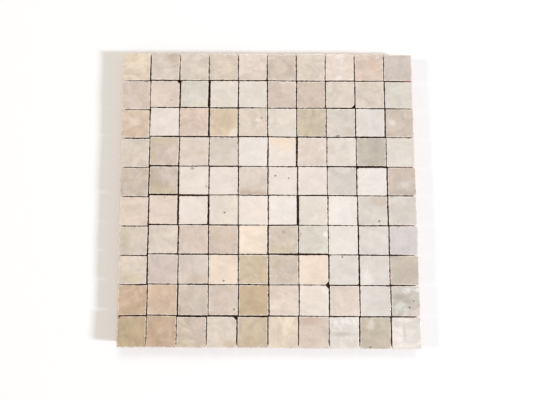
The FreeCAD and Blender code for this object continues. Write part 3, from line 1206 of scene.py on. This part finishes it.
class Press:
    """A cage of eight points that presses a blank into the shape of one cut chip."""

    swell: float = 0.12 * MM
    """How far the glazed face swells over a joint."""
    margin: float = 0.03 * MM
    """How far it stays inside the box of the solids."""
    play: float = 0.05 * MM
    """How much wider the cage is than the blank."""

    def __init__(self, blank: ChipBlank) -> None:
        """Set up the cage round the blank.

        Args:
            blank: The blank's sizes.
        """
        bpy.ops.object.select_all(action="DESELECT")
        bpy.ops.object.add(type="LATTICE", location=(0, 0, blank.thickness / 2))
        self.low, self.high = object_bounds()
        self.cage = bpy.context.active_object
        self.cage.name = "chip_press"
        width = blank.side + self.play
        self.cage.scale = (width, width, blank.thickness)
        form = self.cage.data
        form.points_u = form.points_v = form.points_w = 2
        form.interpolation_type_u = form.interpolation_type_v = form.interpolation_type_w = "KEY_LINEAR"
        bpy.context.view_layer.update()

    def shape(self, thing: bpy.types.Object, chip: CutChip) -> None:
        """Press a copy of the blank, whose glaze swells a little over the joints at its face.

        Args:
            thing: The copy.
            chip: The chip whose shape it gets.
        """
        inwards = self.cage.matrix_world.inverted()
        for count, (point, corner) in enumerate(zip(self.cage.data.points, chip.corners)):
            place = corner.copy()
            if count > 3:
                for axis, outwards in ((0, count % 2), (1, count // 2 % 2)):
                    swollen = place[axis] + (self.swell if outwards else -self.swell)
                    lowest, highest = self.low[axis] + self.margin, self.high[axis] - self.margin
                    place[axis] = min(max(swollen, lowest), highest)
            point.co_deform = inwards @ place
        bpy.context.view_layer.update()
        pressed = thing.modifiers.new("pressed", "LATTICE")
        pressed.object = self.cage
        apply_modifiers(thing)

    def put_away(self) -> None:
        """Remove the cage."""
        bpy.data.objects.remove(self.cage)


@dataclass
class GlazedChips:
    """All the chips of one glaze.

    Attributes:
        finish: The glaze.
        seed: What the chips' own patterns start from.
    """

    finish: GlazeFinish
    seed: int

    smooth_below: ClassVar[float] = 42.0
    """The angle in degrees up to which two faces look like one round surface."""
    broken: ClassVar[float] = 0.5 * MM
    """How much deeper a knocked corner is broken off than in the frame."""
    broken_otherwise: ClassVar[dict[tuple[int, int], float]] = {(5, 9): -0.6 * MM, (2, 2): 0.0}
    """The same on single chips."""
    ways: ClassVar[tuple[int, ...]] = (0, 0, 0, 90)
    """The ways in degrees that a chip's pattern may run, of which one is drawn."""
    askew: ClassVar[float] = 14
    """How many degrees it usually strays from that."""
    apart: ClassVar[float] = 3
    """Within how many metres of one great pattern a chip's own part is drawn."""
    lighter_by: ClassVar[float] = 0.025
    """How much lighter or darker a chip is by chance at most."""
    warmer_by: ClassVar[float] = 0.3
    """How much warmer or greyer it is by chance at most."""
    streaked_by: ClassVar[float] = 0.3
    """How streaked it is by chance at most."""
    pooled_by: ClassVar[float] = 0.014
    """How much lighter or darker it usually is at its sides, where the glaze ran."""

    def build(self, master: bpy.types.Object, press: Press) -> bpy.types.Object:
        """Model and dress the glaze's chips where the frame has them.

        Args:
            master: The blank that they are copied from.
            press: The press that gives each its shape.

        Returns:
            The chips as one piece.
        """
        name = self.finish.name
        node = f"{name}_chips"
        luck = random.Random(self.seed)
        made = []
        for chip in separate_chips(bpy.data.objects[node]):
            copy = own_copy(master, f"{name}_{chip.row}_{chip.column}")
            press.shape(copy, chip)
            self.knock_corners(copy, chip)
            self.note_character(copy, chip, luck)
            made.append(copy)
        piece = join(made, f"{name}_glazed_chips")
        for unevenness in UNEVENNESS:
            unevenness.wear(piece)
        apply_modifiers(piece)
        piece.vertex_groups.clear()
        pick_only(piece)
        bpy.ops.object.shade_smooth_by_angle(angle=math.radians(self.smooth_below))
        piece.data.materials.clear()
        piece.data.materials.append(self.finish.make())
        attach(piece, "root")
        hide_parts(node)
        LOG.info("%s: %d chips, %d faces", piece.name, len(made), len(piece.data.polygons))
        return piece

    def knock_corners(self, thing: bpy.types.Object, chip: CutChip) -> None:
        """Break off the corners that the frame's chip has lost.

        Args:
            thing: The copy to cut.
            chip: The chip as the frame has it.
        """
        deeper = self.broken_otherwise.get((chip.row, chip.column), self.broken)
        for place, outwards in chip.knocks:
            with Bench(thing) as bench:
                bench.everything()
                inner = place - outwards * deeper
                bpy.ops.mesh.bisect(plane_co=inner, plane_no=outwards, use_fill=True, clear_outer=True)

    def note_character(self, thing: bpy.types.Object, chip: CutChip, luck: random.Random) -> None:
        """Keep with each point of a chip what the finish needs to make this chip its own.

        Args:
            thing: The chip.
            chip: Where it lies.
            luck: Where the chip's chance differences come from.
        """
        mesh = thing.data
        shares = read_vectors(mesh, "chip_place")
        turn = math.radians(luck.choice(self.ways) + luck.gauss(0, self.askew))
        start = np.array([luck.uniform(0, self.apart) for _ in range(3)])
        cosine, sine = math.cos(turn), math.sin(turn)
        turned = np.array([[cosine, sine, 0], [-sine, cosine, 0], [0, 0, 1]])
        local = shares * np.array([HALF_SIDE * MM, HALF_SIDE * MM, THICKNESS * MM])
        write_values(mesh, "grain_place", local @ turned + start)
        own = CHARACTERS.get((chip.row, chip.column), Character())
        lighter = own.lighter + luck.uniform(-self.lighter_by, self.lighter_by)
        warmer = own.warmer + luck.uniform(-self.warmer_by, self.warmer_by)
        streaked = max(own.streaked, luck.uniform(0.0, self.streaked_by))
        even = {
            "chip_tone": [lighter, own.marbled_and_glare, own.veined],
            "chip_cast": [warmer, streaked, 0.0],
            "chip_pool": [luck.gauss(0, self.pooled_by), luck.gauss(0, self.pooled_by), 0.0],
        }
        for name, values in even.items():
            write_values(mesh, name, np.tile(values, (len(mesh.vertices), 1)))
        self.note_marks(mesh, shares, chip)

    @staticmethod
    def note_marks(mesh: bpy.types.Mesh, shares: np.ndarray, chip: CutChip) -> None:
        """Keep how near each point of a chip is to the chip's marks.

        Args:
            mesh: The chip's mesh.
            shares: Where each point is on the chip.
            chip: Where the chip lies.
        """
        count = len(shares)
        patch, pit = np.zeros(count), np.zeros(count)
        tint = np.tile([*linear(Tint.MILK.value)[:3], 0.0], (count, 1))
        for mark in MARKS:
            if (mark.row, mark.column) != (chip.row, chip.column):
                continue
            aside, ahead = shares[:, 0] - mark.across, shares[:, 1] - mark.along
            away = np.hypot(aside / mark.width, ahead / mark.height)
            reach = np.clip(1 - away / 2, 0, 1)
            if mark.tint is None:
                pit = np.maximum(pit, reach)
                continue
            nearer = reach > patch
            tint[nearer] = [*linear(mark.tint.value)[:3], mark.strength]
            patch = np.maximum(patch, reach)
        write_values(mesh, "mark_reach", patch)
        write_values(mesh, "mark_tint", tint)
        write_values(mesh, "pit_reach", pit)


@dataclass
class ChipField:
    """The ten rows of ten chips, glaze by glaze.

    Attributes:
        blank: The blank that every chip starts from.
        seed: What the chips' own patterns start from.
    """

    blank: ChipBlank
    seed: int = 70

    def build(self) -> list[bpy.types.Object]:
        """Model and dress all the chips.

        Returns:
            One piece for each glaze.
        """
        master = self.blank.build()
        press = Press(self.blank)
        pieces = [
            GlazedChips(finish, self.seed + count).build(master, press)
            for count, finish in enumerate(GLAZES)
        ]
        press.put_away()
        bpy.data.meshes.remove(master.data)
        return pieces


# The mesh that carries the chips


@dataclass
class BackingMesh:
    """A glass-fibre mesh: flat cross yarns, held between pairs of thin long yarns.

    Attributes:
        pitch: Spacing of the yarns, in metres.
        per_half: How many yarns lie on each side of the middle one.
        width: Width of a cross yarn.
        thickness: Its thickness.
        strand: Thickness of a long yarn's strand.
        spread: How far the two strands of a pair swing to either side.
        flat: How many times wider than thick a strand is.
        waist: By what share a cross yarn is narrower where a pair grips it.
        dip: Which share of the way to the mesh's middle a strand goes between two cross yarns.
        shorter: How much shorter the yarns are at each end than the solid ones.
        inside: How far the strands stay inside the height of the solid mesh.
        smooth_below: The angle in degrees up to which two faces look like one round surface.
    """

    pitch: float = 12.7 * MM
    per_half: int = 9
    width: float = 1.2 * MM
    thickness: float = 0.24 * MM
    strand: float = 0.12 * MM
    spread: float = 0.30 * MM
    flat: float = 4.0
    waist: float = 0.22
    dip: float = 0.8
    shorter: float = 0.1 * MM
    inside: float = 0.01 * MM
    smooth_below: float = 60.0

    def build(self) -> list[bpy.types.Object]:
        """Model and dress the mesh.

        Returns:
            The cross yarns and the long yarns.
        """
        low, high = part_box("backing_mesh")
        middle = (low.z + high.z) / 2
        half = high.x - self.shorter
        cross = self.lay_out(self.ribbon(half, middle), "cross_yarns", Vector((0, self.pitch, 0)))
        pair = join([self.strand_line(half, low.z, high.z, side) for side in (1, -1)], "pair")
        along = self.lay_out(pair, "long_yarns", Vector((self.pitch, 0, 0)))
        self.dress(cross, YarnFinish("cross_yarn", (236, 236, 230), (0.06, 1.0, 1.0)))
        self.dress(along, YarnFinish("long_yarn", (238, 238, 233), (1.0, 0.06, 1.0)))
        return [cross, along]

    @property
    def steps(self) -> int:
        """Count the steps that a yarn's length has, four from one yarn across it to the next."""
        return 4 * (2 * self.per_half + 1)

    def ribbon(self, half: float, height: float) -> bpy.types.Object:
        """Model one cross yarn, with its edges drawn in a little where the pairs grip it.

        Args:
            half: Half its length.
            height: The height of its middle.

        Returns:
            The yarn, along X.
        """
        bpy.ops.object.select_all(action="DESELECT")
        bpy.ops.mesh.primitive_cylinder_add(
            vertices=10,
            radius=0.5,
            depth=1,
            location=(0, 0, height),
            rotation=(0, math.pi / 2, 0),
        )
        yarn = bpy.context.active_object
        bpy.ops.object.transform_apply(location=False, rotation=True, scale=False)
        yarn.scale = (2 * half, self.width, self.thickness)
        bpy.ops.object.transform_apply(location=True, rotation=True, scale=True)
        with Bench(yarn) as bench:
            bench.edges(lambda edge: abs(edge.verts[0].co.x - edge.verts[1].co.x) > half)
            bpy.ops.mesh.subdivide(number_cuts=self.steps - 1)
        for point in yarn.data.vertices:
            grip = 0.5 + 0.5 * math.cos(2 * math.pi * point.co.x / self.pitch)
            point.co.y *= 1 - self.waist * grip ** 3
        return yarn

    def swing(self, along: float, side: int) -> float:
        """Work out how far to its side a strand lies at a place along it."""
        return side * self.spread * math.cos(math.pi * along / self.pitch)

    def strand_line(self, half: float, low: float, high: float, side: int) -> bpy.types.Object:
        """Model one strand of a pair, which swings from side to side and crosses its twin.

        Args:
            half: Half its length.
            low: The lowest that the mesh reaches.
            high: The highest that it reaches.
            side: 1 for the strand over the cross yarns, -1 for the one under them.

        Returns:
            The strand, along Y.
        """
        bpy.ops.object.select_all(action="DESELECT")
        bpy.ops.curve.primitive_nurbs_path_add()
        line = bpy.context.active_object
        spline = line.data.splines[0]
        spline.points.add(self.steps + 1 - len(spline.points))
        away = self.strand / 2 + self.inside
        height = high - away if side > 0 else low + away
        middle = (low + high) / 2
        for count, point in enumerate(spline.points):
            along = -half + 2 * half * count / self.steps
            between = 0.5 - 0.5 * math.cos(2 * math.pi * along / self.pitch)
            lowered = height + (middle - height) * self.dip * between
            point.co = (self.swing(along, side), along, lowered, 1)
        spline.order_u = 3
        spline.use_endpoint_u = True
        line.data.resolution_u = 2
        line.data.bevel_resolution = 1
        line.data.use_fill_caps = True
        line.data.bevel_depth = self.strand / 2
        pick_only(line)
        bpy.ops.object.convert(target="MESH")
        strand = bpy.context.active_object
        for point in strand.data.vertices:
            swing = self.swing(point.co.y, side)
            point.co.x = swing + (point.co.x - swing) * self.flat
        return strand

    def lay_out(self, yarn: bpy.types.Object, name: str, step: Vector) -> bpy.types.Object:
        """Copy a yarn to all its places.

        Args:
            yarn: The yarn in the middle.
            name: What the piece is called.
            step: The way from one yarn to the next.

        Returns:
            All the yarns as one piece.
        """
        laid = [yarn]
        for count in range(-self.per_half, self.per_half + 1):
            if count:
                copy = own_copy(yarn, f"{name}_{count}")
                copy.data.transform(Matrix.Translation(step * count))
                laid.append(copy)
        piece = join(laid, name)
        bpy.ops.object.transform_apply(location=True, rotation=True, scale=True)
        return piece

    def dress(self, piece: bpy.types.Object, finish: YarnFinish) -> None:
        """Finish one set of yarns.

        Args:
            piece: The yarns.
            finish: What they are made of.
        """
        pick_only(piece)
        bpy.ops.object.shade_smooth_by_angle(angle=math.radians(self.smooth_below))
        piece.data.materials.clear()
        piece.data.materials.append(finish.make())
        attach(piece, "root")
        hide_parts("backing_mesh")
        LOG.info("%s: %d faces", piece.name, len(piece.data.polygons))


@dataclass
class GlueDabs:
    """A dab of dried glue under each chip, pressed round the yarns.

    Attributes:
        reach: Radius of an average dab, in metres.
        thickness: How thick it is.
        drift: How far it lies from the middle of its chip.
        height: How high its middle is.
        lean: How far each row lies to the right of the one behind it, in millimetres.
        ragged: How far the edge of a dab runs in and out, in waves of the next size.
        waves: The size of the waves.
        seed: What the dabs' sizes and places start from.
    """

    reach: float = 4.6 * MM
    thickness: float = 0.44 * MM
    drift: float = 2.0 * MM
    height: float = 0.27 * MM
    lean: float = 0.33
    ragged: float = 1.6 * MM
    waves: float = 3.5 * MM
    seed: int = 23

    def place(self, row: int, column: int) -> Vector:
        """Work out where the dab of a chip is before it drifts."""
        across = (column - MIDDLE) * PITCH + (row - MIDDLE) * self.lean * MM
        return Vector((across, (MIDDLE - row) * PITCH, self.height))

    def build(self) -> bpy.types.Object:
        """Model and dress the dabs, row by row.

        Returns:
            The dabs as one piece.
        """
        luck = random.Random(self.seed)
        bpy.ops.object.select_all(action="DESELECT")
        bpy.ops.mesh.primitive_ico_sphere_add(subdivisions=3, radius=1)
        master = bpy.context.active_object
        dabs = []
        for row, column in itertools.product(range(1, 11), repeat=2):
            dab = own_copy(master, f"glue_dab_{row}_{column}")
            size = self.reach * luck.uniform(0.75, 1.2)
            squeeze = luck.uniform(0.75, 1.0)
            turned = Matrix.Rotation(luck.uniform(0, math.pi), 4, "Z")
            spread = Matrix.Diagonal((size, size * squeeze, self.thickness / 2, 1))
            aside = Vector((luck.uniform(-1, 1), luck.uniform(-1, 1), 0)) * self.drift
            shift = Matrix.Translation(self.place(row, column) + aside)
            dab.data.transform(shift @ turned @ spread)
            dabs.append(dab)
        bpy.data.meshes.remove(master.data)
        piece = join(dabs, "glue_dabs")
        waves = bpy.data.textures.new("glue_spread", "CLOUDS")
        waves.noise_scale = self.waves
        waves.noise_depth = 1
        for direction in ("X", "Y"):
            spread = piece.modifiers.new("spread", "DISPLACE")
            spread.texture = waves
            spread.texture_coords = "GLOBAL"
            spread.direction = direction
            spread.strength = self.ragged
        apply_modifiers(piece)
        bpy.ops.object.shade_smooth()
        piece.data.materials.append(GlueFinish().make())
        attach(piece, "root")
        LOG.info("%s: %d dabs", piece.name, len(dabs))
        return piece


# Floor, light and camera


@dataclass(frozen=True)
class Lamp:
    """One soft lamp, aimed at the middle of the sheet.

    Attributes:
        name: What it is called.
        place: Where it is, in metres.
        width: How wide its face is.
        share: How much of a plain level's light it gives a level surface at the sheet.
        tone: The colour of its light.
    """

    name: str
    place: tuple[float, float, float]
    width: float
    share: float
    tone: tuple[float, float, float]

    def hang(self) -> None:
        """Hang the lamp."""
        place = Vector(self.place)
        lamp = bpy.data.lights.new(self.name, "AREA")
        lamp.energy = self.share * math.pi ** 2 * place.length ** 3 / place.z
        lamp.size = self.width
        lamp.color = self.tone
        hung = bpy.data.objects.new(self.name, lamp)
        hung.location = place
        hung.rotation_euler = (-place).to_track_quat("-Z", "Y").to_euler()
        bpy.context.scene.collection.objects.link(hung)


LAMPS: tuple[Lamp, ...] = (
    Lamp("window_lamp", (2.53, -0.63, 1.28), 0.35, 0.35, (0.90, 0.98, 1.12)),
    Lamp("warm_lamp", (-2.50, -0.05, 1.50), 0.45, 0.14, WARM_LIGHT),
    Lamp("far_lamp", (0.20, 1.90, 2.30), 1.00, 0.12, WARM_LIGHT),
)


@dataclass
class Studio:
    """A plain white floor, soft lamps and a camera above the sheet.

    Attributes:
        floor: Width of the floor, in metres.
        sky: How bright the even light is, where all the light together comes to about 1.
        paper: The floor as it looks.
        bright_paper: How much brighter than plain white the floor is to the camera.
        painted_joint_shade: A dark brown painted on the floor where the sheet covers it: painted shade, which
            makes the joints look dark deep down.
        painted_shade_within: Between which distances from the middle of the sheet the painted shade starts.
        painted_shade_middle: How far beyond the middle of the frame the painted shade lies.
        white_from: Between which distances the floor fades into plain white.
        focal: The camera's focal length for a sensor 36 mm wide.
        eye: Where the camera is.
        turned: How it is turned about X, Y and Z, in degrees.
    """

    floor: float = 4.0
    sky: float = 0.40
    paper: Tone = (250, 250, 250)
    bright_paper: float = 0.07
    painted_joint_shade: Tone = (134, 100, 82)
    painted_shade_within: tuple[float, float] = (0.1297, 0.1270)
    painted_shade_middle: float = 0.0014
    white_from: tuple[float, float] = (0.4, 0.9)
    focal: float = 34.58
    eye: tuple[float, float, float] = (-0.00032, -0.04854, 0.44847)
    turned: tuple[float, float, float] = (5.9529, 0.0848, 0.3609)

    def build(self) -> None:
        """Set up the floor, the light and the camera."""
        self.lay_floor()
        self.light_evenly()
        for lamp in LAMPS:
            lamp.hang()
        self.place_camera()
        bpy.context.scene.view_settings.view_transform = "Standard"
        LOG.info("studio: sky %.2f, %d lamps", self.sky, len(LAMPS))

    def lay_floor(self) -> None:
        """Lay the floor under the sheet."""
        bpy.ops.object.select_all(action="DESELECT")
        bpy.ops.mesh.primitive_plane_add(size=self.floor, location=(0, 0, 0))
        floor = bpy.context.active_object
        floor.name = floor.data.name = "studio_floor"
        board = Board("studio_floor")
        place = board.add("ShaderNodeTexCoord", result="Object")
        fibre = board.noise(place, 900, 3, 0.6)
        across, along, _ = board.parts(place)
        reach = abs(across).most(abs(along - self.painted_shade_middle))
        # Painted shade: the floor turns dark brown under the sheet, so the joints look dark deep down and a
        # thin dark line shows round the sheet's foot.
        under = reach.rise(*self.painted_shade_within)
        tone = board.blend(linear(self.paper), linear(self.painted_joint_shade), under)
        tone = board.lit(tone, 0.995 + fibre * 0.01)
        paper = board.add("ShaderNodeBsdfDiffuse", sockets={"Color": tone})
        glow = board.lit((1.0, 1.0, 1.0), board.seen() * self.bright_paper * (1 - under))
        bright = board.add("ShaderNodeBsdfDiffuse", sockets={"Color": glow})
        both = board.add("ShaderNodeAddShader", sockets={0: paper, 1: bright})
        white = board.add("ShaderNodeEmission", sockets={"Strength": 1.0})
        fade = reach.rise(*self.white_from) * board.seen()
        faded = board.add("ShaderNodeMixShader", sockets={0: fade, 1: both, 2: white})
        board.node("ShaderNodeOutputMaterial", sockets={"Surface": faded})
        floor.data.materials.append(board.material)
        floor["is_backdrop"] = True

    def light_evenly(self) -> None:
        """Give the studio an even light, and a white background to the camera."""
        world = bpy.data.worlds.new("studio")
        bpy.context.scene.world = world
        world.use_nodes = True
        board = Board.on_tree(world.node_tree)
        tone = (*WARM_LIGHT, 1.0)
        even = board.add("ShaderNodeBackground", sockets={"Color": tone, "Strength": self.sky})
        white = board.add("ShaderNodeBackground", sockets={"Color": (1.0, 1.0, 1.0, 1.0)})
        mixed = board.add("ShaderNodeMixShader", sockets={0: board.seen(), 1: even, 2: white})
        board.node("ShaderNodeOutputWorld", sockets={"Surface": mixed})

    def place_camera(self) -> None:
        """Hold the camera above the sheet, a little nearer to its near edge."""
        lens = bpy.data.cameras.new("camera")
        lens.sensor_fit = "HORIZONTAL"
        lens.sensor_width = 36.0
        lens.lens = self.focal
        lens.clip_start = 0.01
        eye = bpy.data.objects.new("camera", lens)
        eye.location = self.eye
        eye.rotation_euler = [math.radians(angle) for angle in self.turned]
        bpy.context.scene.collection.objects.link(eye)
        bpy.context.scene.camera = eye


def main() -> None:
    """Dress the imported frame, piece by piece."""
    logging.basicConfig(level=logging.INFO, format="%(name)s: %(message)s")
    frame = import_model()
    LOG.info("frame: %d nodes", len(frame["nodes"]))
    ChipField(ChipBlank()).build()
    BackingMesh().build()
    GlueDabs().build()
    Studio().build()


if __name__ == "__main__":
    main()
